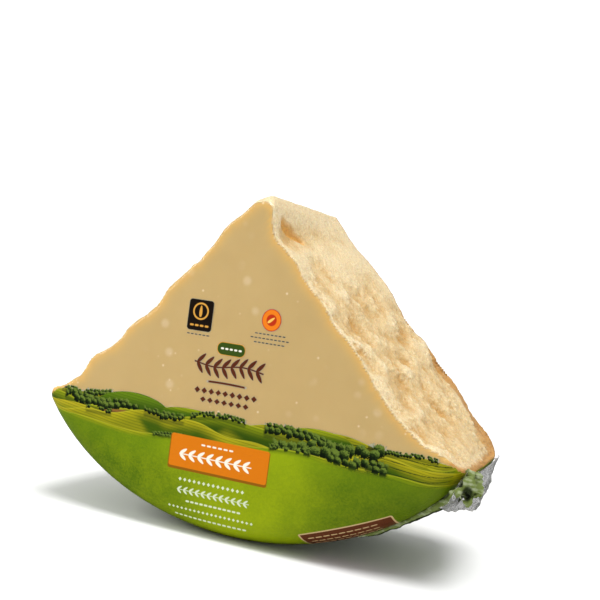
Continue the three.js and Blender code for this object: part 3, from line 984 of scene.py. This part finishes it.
def meadow(x, y, flat, place):
    """Colour of the meadow, and how far its printed area covers."""
    patch = noise(flat, 0.03, 1)
    wobble = noise(flat, 0.9, 1) - 0.5
    mown = ((x * 0.35 + y * 3.1 + patch * 9) * 1.2).calc("SINE")
    rows, ripe = mown.smooth(0.5, 0.95) * 0.45, patch.smooth(0.45, 0.6) * 0.55
    start, end, pitch = HEDGE
    bend = ((x - 96) * 0.07).calc("SINE") * 1.4
    hedges = ((y + bend + wobble * 0.8) * (2 * math.pi / pitch)).calc("SINE").smooth(0.86, 0.96)
    hedges = hedges * (x - start).smooth(-1, 1) * (x - end).smooth(1, -1) * 0.85
    for number, ridge in enumerate(RIDGES):
        for behind, at_x, at_y, half_width, half_height, lit, deep in HILLS:
            if behind == number:
                hill = use("disc", x, y, at_x, at_y, half_width, half_height)
                shade = mix((y - at_y - half_height).smooth(-0.3, -0.9 * half_height), lit, deep)
                colour = mix(hill, colour, mix(rows, shade, FIELD_DARK))
                cover = cover.most(hill)
        top = crest(x, ridge)
        above = y - top
        slope = mix(above.smooth(1, -8), ridge[3], ridge[4])
        slope = mix(ripe, slope, FIELD_RIPE)
        slope = mix(rows, slope, FIELD_DARK)
        slope = mix(above.smooth(-0.9, 0.0) * 0.5, slope, CREST_LIT)
        slope = mix(hedges * above.smooth(-0.5, -1.2), slope, CROWN_MID)
        inside = above.smooth(0.25, -0.25)
        colour = mix(inside, colour, slope) if number else slope
        cover = cover.most(inside) if number else inside
        for ridge_number, start, end, lift, size, share in TREES:
            if ridge_number == number:
                over = above - lift
                mask, shade, shadow = use("tree row", x, over, wobble, start, end, size, share, lift)
                colour = mix(mask, mix(shadow, colour, CROWN_MID), shade)
                cover = cover.most(mask)
    grass = top - 2 - y
    blades = noise(place, 0.8, 3, 0.7) * 0.7 + noise(place, 0.06, 3) * 0.6
    lawn = mix(blades.smooth(0.35, 0.95), GRASS_DEEP, GRASS_LIGHT)
    lawn = mix(grass.smooth(22, 0) * 0.5, lawn, GRASS_FRESH)
    # painted shade: the lawn darkens from the foot of the front on over the heel, where it turns downwards
    lawn = mix(grass.smooth(50, 110) * 0.35, lawn, GRASS_SHADE)
    sunny = (abs(x - 8) + (patch - 0.5) * 30).smooth(72, 8)
    lawn = mix(sunny * 0.5, lawn, GRASS_SUNNY)
    lawn = mix(x.smooth(35, 100) * 0.4 + x.smooth(-50, -115) * 0.25, lawn, GRASS_SHADE)
    return mix(grass.smooth(-2, 2), colour, lawn), cover


# %% [markdown]
# The ornaments stand where such bags carry their small print: a brown sprig over two rows of
# lozenges, two seals, a green badge, an orange label, white rows on the grass, and a brown panel
# round the heel. They are plain motifs, leaves, lozenges and bars, and say nothing.

# %% The ornaments
INK_BROWN, INK_BLACK = srgb(84, 36, 16), srgb(22, 14, 8)
INK_WHITE, INK_PALE = srgb(234, 230, 214), srgb(204, 214, 184)
LABEL_ORANGE, LABEL_EDGE = srgb(206, 113, 0), srgb(134, 84, 2)
BADGE_GREEN, SEAL_GOLD = srgb(52, 74, 18), srgb(206, 150, 62)
SEAL_ORANGE, SEAL_RED, SEAL_PALE = srgb(226, 120, 20), srgb(178, 44, 12), srgb(240, 190, 90)
PANEL_BROWN, PANEL_TAN = srgb(88, 46, 24), srgb(188, 160, 116)
MIDDLE = -9.5                        # x of the column of ornaments, in mm
SPRIG_HEIGHT, SPRIG_HALF, SPRIG_LEAVES, LEAF_PITCH = 105.0, 23.0, 8, 5.6
SPRIG_WAVE, SPRIG_RISE = 0.16, 1.2   # how fast and how far the stem swings up and down
STROKE_HEIGHT, STROKE_HALF = 95, 13
PANEL_ROWS, ROW_PITCH = 5, 5
THIN_WHEN_PALE = 0.004               # how much less white ink covers than black ink
ROUND_HEEL = (80, 9.6, math.radians(21.6))       # middle and turn of the brown panel

ORNAMENTS = (
    # shape, ink, x and y of its middle, then what its group asks for
    ("lozenges", INK_BROWN, MIDDLE, 88.8, 9, 4.7, 2.0, 2.0),
    ("lozenges", INK_BROWN, MIDDLE, 83.4, 7, 4.7, 2.0, 1.8),
    ("panel", SEAL_GOLD, MIDDLE, 115.6, 9.6, 4.2, 4.0),
    ("panel", BADGE_GREEN, MIDDLE, 115.6, 9.0, 3.6, 3.5),
    ("dashes", INK_WHITE, MIDDLE, 115.6, 5, 2.9, 1.0, 0.55),
    ("panel", INK_BLACK, -32.5, 133, 8.2, 9.4, 2.0),
    ("disc", SEAL_GOLD, -32.5, 135.4, 5.2, 5.2),
    ("disc", INK_BLACK, -32.5, 135.4, 4.2, 4.2),
    ("leaf", SEAL_GOLD, -32.5, 131.9, 7.0, 1.9, math.radians(90)),
    ("dashes", SEAL_GOLD, -32.5, 126.8, 4, 3.3, 1.25, 0.6),
    ("dashes", INK_BLACK, -32.5, 121.4, 6, 2.6, 1.0, 0.35),
    ("disc", SEAL_RED, 13.9, 136.4, 6.2, 6.6),
    ("disc", SEAL_ORANGE, 13.9, 136.4, 5.6, 6.0),
    ("disc", SEAL_RED, 13.9, 136.4, 3.2, 3.4),
    ("leaf", SEAL_PALE, 11.6, 134.6, 5.4, 1.5, math.radians(40)),
    ("dashes", INK_BLACK, 14.2, 127.8, 8, 2.5, 0.95, 0.36),
    ("dashes", INK_BLACK, 14.2, 125.2, 10, 2.5, 0.95, 0.36),
    ("dashes", INK_BLACK, 14.2, 122.6, 8, 2.5, 0.95, 0.36),
    ("panel", LABEL_EDGE, -8.6, 49.3, 32.9, 10.6, 1.6),
    ("panel", LABEL_ORANGE, -8.6, 50.2, 32.4, 9.9, 1.4),
    ("dashes", INK_WHITE, -10, 56.0, 6, 3.7, 1.3, 0.5),
    ("garland", INK_WHITE, -10.5, 48.4, 8, 6.0, 5.4, 1.9, math.radians(38)),
    ("lozenges", INK_PALE, -11, 33.2, 14, 3.2, 1.05, 1.15),
    ("garland", INK_PALE, -9, 26.8, 12, 4.0, 3.4, 1.15, math.radians(38)),
    ("dashes", INK_PALE, -8, 20.6, 12, 3.1, 1.15, 0.55),
    ("lozenges", INK_PALE, -9.5, 15.8, 20, 2.9, 0.95, 0.9),
    ("dashes", INK_PALE, -9.5, 10.4, 15, 3.3, 1.2, 0.65),
    ("panel", PANEL_TAN, ROUND_HEEL[0], ROUND_HEEL[1], 29, 17, 1.2, ROUND_HEEL[2]),
    ("panel", PANEL_BROWN, ROUND_HEEL[0], ROUND_HEEL[1], 28, 16, 0.6, ROUND_HEEL[2]),
)


def sprig(x, y):
    """A level stem with leaves on both sides, and a thin stroke below it."""
    stem = ((x - MIDDLE) * SPRIG_WAVE).calc("SINE") * SPRIG_RISE + SPRIG_HEIGHT
    mask = (abs(y - stem) - 0.55).smooth(SOFT, -SOFT) * (abs(x - MIDDLE) - SPRIG_HALF).smooth(SOFT, -SOFT)
    for number in range(SPRIG_LEAVES):
        foot = MIDDLE - SPRIG_HALF + 2 + number * LEAF_PITCH
        level = SPRIG_HEIGHT + SPRIG_RISE * math.sin((foot - MIDDLE) * SPRIG_WAVE)
        for turn in (48, -56):
            mask = mask.most(use("leaf", x, y, foot, level, 7.6, 2.5, math.radians(turn)))
    stroke = (abs(y - STROKE_HEIGHT + (x - MIDDLE) * (x - MIDDLE) * 0.002) - 0.7).smooth(SOFT, -SOFT)
    return mask.most(stroke * (abs(x - MIDDLE) - STROKE_HALF).smooth(1.5, -1.5))


def ornaments(x, y, colour, cover):
    """Lays the ornaments over the meadow. Returns the colour and the cover."""
    def lay(mask, ink):
        return mix(mask, colour, ink), cover.most(mask)

    colour, cover = lay(sprig(x, y), INK_BROWN)
    for shape, ink, *values in ORNAMENTS:
        colour, cover = lay(use(shape, x, y, *values), ink)
    at_x, at_y, turn = ROUND_HEEL
    a, b = turned(x, y, at_x, at_y, math.cos(turn), math.sin(turn))
    for number in range(PANEL_ROWS):
        row = use("dashes", a, b, -3, 11.5 - number * ROW_PITCH, 9, 4.9, 2.0, 0.55)
        colour, cover = lay(row, PANEL_TAN)
    return colour, cover


def meadow_print(flat, place):
    """Pale ink is thinner than dark ink, so it covers a little less."""
    flat, place = in_millimetres(flat), in_millimetres(place)
    x, y, _ = parts(flat)
    colour, cover = ornaments(x, y, *meadow(x, y, flat, place))
    return colour, cover * (1 - node(colour.tree, "RGBToBW", colour) * THIN_WHEN_PALE)


define("meadow print", meadow_print, {"colour": "Color", "cover": "Float"}, flat=None, place=None)

# %% [markdown]
# ## Film
# A clear film shows mostly what is under it, plus a thin reflection that grows at grazing angles.
# Here that is a mirror with a low alpha: alpha says how much it reflects, and Fresnel raises it
# towards the rim. Where there is ink the film turns opaque and takes the ink's colour. Ripples and
# fine creases are the same on all pieces of the bag, so they are a group.

# %% Ripples and the start of a film
FILM_WHITE = (0.93, 0.93, 0.92, 1)
FILM_INDEX, FILM_GLOSS = 1.45, 0.14
INK_ROUGHNESS = 0.2                  # how much rougher ink is than bare film


def film_ripples(place, crease):
    """Slack waves, fine waves, and creases along the lines where a noise crosses its middle."""
    slack = noise(place, 38, 1)
    fine = noise(place, 260, 2)
    creases = abs(noise(place, 85, 2, 0.6) - 0.5).smooth(0.035, 0.0)
    return slack + fine * 0.12 + creases * crease * 0.25, creases


define("film ripples", film_ripples, {"height": "Float", "creases": "Float"}, place=None, crease=1.0)


def new_film(name, crease, face_on, at_rim):
    """A film whose bare alpha is face_on where it faces the eye, with at_rim more at its rim."""
    material, tree, shader, place = new_material(name)
    height, creases = use("film ripples", place, crease)
    finish_with(tree, shader, Specular_IOR_Level=0.1, Normal=bump(height, 0.3, 1.2 * MM))
    return material, tree, shader, place, creases, node(tree, "Fresnel", FILM_INDEX) * at_rim + face_on


# %% Material: printed film
material, tree, shader, place, _, bare = new_film("printed shrink film", 0.6, 0.02, 0.2)
ink, cover = use("meadow print", node(tree, "UVMap", uv_map="Print"), place)
finish_with(tree, shader, Base_Color=mix(cover, FILM_WHITE, ink), Metallic=1 - cover.smooth(0.1, 0.6),
            Roughness=cover * INK_ROUGHNESS + FILM_GLOSS, Alpha=cover.most(bare))
film.data.materials.append(material)

# %% [markdown]
# The flap is bare film in many small creases, which shine. The twist and the seam are all ink: many
# layers of the printed band, a dull green with paler streaks, and painted shade in their folds.

# %% Materials: bare and gathered film
FOLD_SHADE_GREEN, FILM_GREEN, FILM_PALE = srgb(16, 26, 6), srgb(112, 126, 66), srgb(172, 182, 146)
GATHERED_COVER = 0.97

material, tree, shader, place, creases, bare = new_film("crumpled film", 1.0, 0.3, 0.5)
finish_with(tree, shader, Base_Color=FILM_WHITE, Metallic=0.85 - creases * 0.5, Roughness=FILM_GLOSS,
            Alpha=bare + creases * 0.2)
flap.data.materials.append(material)

material, tree, shader, place, _, bare = new_film("twisted film", 1.0, 0.6, 0.2)
streaks = noise(scaled(place, 160.0, 160.0, 340.0), 1.0, 2)
ink = mix(streaks.smooth(0.45, 0.65) * 0.75, FILM_GREEN, FILM_PALE)
# painted shade: dark green where the fold attribute is high, in the mouth, the pleats and the seam's outer
# side
ink = mix(attribute(tree, "fold") * 0.92, ink, FOLD_SHADE_GREEN)
finish_with(tree, shader, Base_Color=ink, Roughness=0.3, Alpha=bare.most(GATHERED_COVER))
for piece in (twist, seam):
    piece.data.materials.append(material)

# %% [markdown]
# ## The room
# The wedge stands on a plain white floor under a white room. A sun from above and a little to the
# right makes the broken flank brighter than the front, and its wide angle keeps the shadow soft. A
# soft box on the left gives the film of the heel a bright edge. In mirrors the room and the floor are
# darker than they look, as if dark cloths hung behind the camera.

# %% Floor, lights and camera
CAMERA_TARGET = Vector((0, -10.9, 120.2)) * MM
CAMERA_AZIMUTH, CAMERA_ELEVATION, CAMERA_ROLL = math.radians(21.7), math.radians(3.7), math.radians(7.7)
CAMERA_DISTANCE, CAMERA_LENS, CAMERA_SHIFT = 635.7 * MM, 60, (0.0333, 0.072)
FLOOR_RADIUS = 9
FLOOR_SEEN, FLOOR_MIRRORED = 0.86, 0.12
ROOM_SEEN, ROOM_MIRRORED, ROOM_LIGHT = 1.3, 0.25, 0.6    # how bright the room looks, and how it lights
SUN_FROM, SUN_STRENGTH, SUN_WIDTH = (0.22, -0.16, 0.95), 2.6, math.radians(28)
BOX_AT, BOX_AIM, BOX_POWER, BOX_SIZE = (-0.85, -0.45, 0.55), (-0.05, 0, 0.06), 5, 0.5

bpy.ops.object.select_all(action="DESELECT")
bpy.ops.mesh.primitive_circle_add(vertices=96, radius=FLOOR_RADIUS, fill_type="NGON", location=(0, 0, 0))
floor = bpy.context.object
floor.name = "floor"
material, tree, shader, place = new_material("white floor")
mirrored = Field(tree, node(tree, "LightPath").socket.node.outputs["Is Glossy Ray"])
shade = mirrored * (FLOOR_MIRRORED - FLOOR_SEEN) + FLOOR_SEEN
grey = node(tree, "CombineXYZ", shade, shade, shade)
finish_with(tree, shader, Base_Color=grey, Roughness=0.85, Specular_IOR_Level=0.1)
floor.data.materials.append(material)

world = bpy.data.worlds.new("white room")
world.use_nodes = True
room = world.node_tree
ray = node(room, "LightPath").socket.node.outputs
seen, mirrored = Field(room, ray["Is Camera Ray"]), Field(room, ray["Is Glossy Ray"])
strength = seen * (ROOM_SEEN - ROOM_LIGHT) + mirrored * (ROOM_MIRRORED - ROOM_LIGHT) + ROOM_LIGHT
connect(room, room.nodes["Background"].inputs["Color"], (1, 1, 1, 1))
connect(room, room.nodes["Background"].inputs["Strength"], strength)
bpy.context.scene.world = world
bpy.context.scene.view_settings.view_transform = "Standard"


def add_light(name, kind, place, aim, energy, **settings):
    """A light at a place that shines towards another."""
    data = bpy.data.lights.new(name, kind)
    data.energy = energy
    for key, value in settings.items():
        setattr(data, key, value)
    lamp = bpy.data.objects.new(name, data)
    bpy.context.scene.collection.objects.link(lamp)
    turn = (Vector(aim) - Vector(place)).to_track_quat("-Z", "Y").to_matrix().to_4x4()
    lamp.matrix_world = Matrix.Translation(place) @ turn


add_light("sun", "SUN", SUN_FROM, (0, 0, 0), SUN_STRENGTH, angle=SUN_WIDTH)
add_light("soft box left", "AREA", BOX_AT, BOX_AIM, BOX_POWER, size=BOX_SIZE)

camera = bpy.data.objects.new("camera", bpy.data.cameras.new("camera"))
bpy.context.scene.collection.objects.link(camera)
back = Vector((math.sin(CAMERA_AZIMUTH) * math.cos(CAMERA_ELEVATION),
               -math.cos(CAMERA_AZIMUTH) * math.cos(CAMERA_ELEVATION), math.sin(CAMERA_ELEVATION)))
right = Vector((0, 0, 1)).cross(back).normalized()
up = back.cross(right)
turned_right = right * math.cos(CAMERA_ROLL) + up * math.sin(CAMERA_ROLL)
turned_up = up * math.cos(CAMERA_ROLL) - right * math.sin(CAMERA_ROLL)
camera.matrix_world = Matrix.Translation(CAMERA_TARGET + back * CAMERA_DISTANCE) @ Matrix(
    (turned_right, turned_up, back)).transposed().to_4x4()
camera.data.lens = CAMERA_LENS
camera.data.sensor_width = 36
camera.data.shift_x, camera.data.shift_y = CAMERA_SHIFT
bpy.context.scene.camera = camera

# %% Join the frame
for piece, replaced, slot in (
    (cheese, "wrapped_wedge", "cheese"),
    (film, "wrapped_wedge", "printed_film"),
    (flap, "film_tail", "clear_film"),
    (twist, "film_fold", "printed_film"),
    (seam, "film_fold", "printed_film"),
):
    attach(piece, "root")
    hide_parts(replaced)
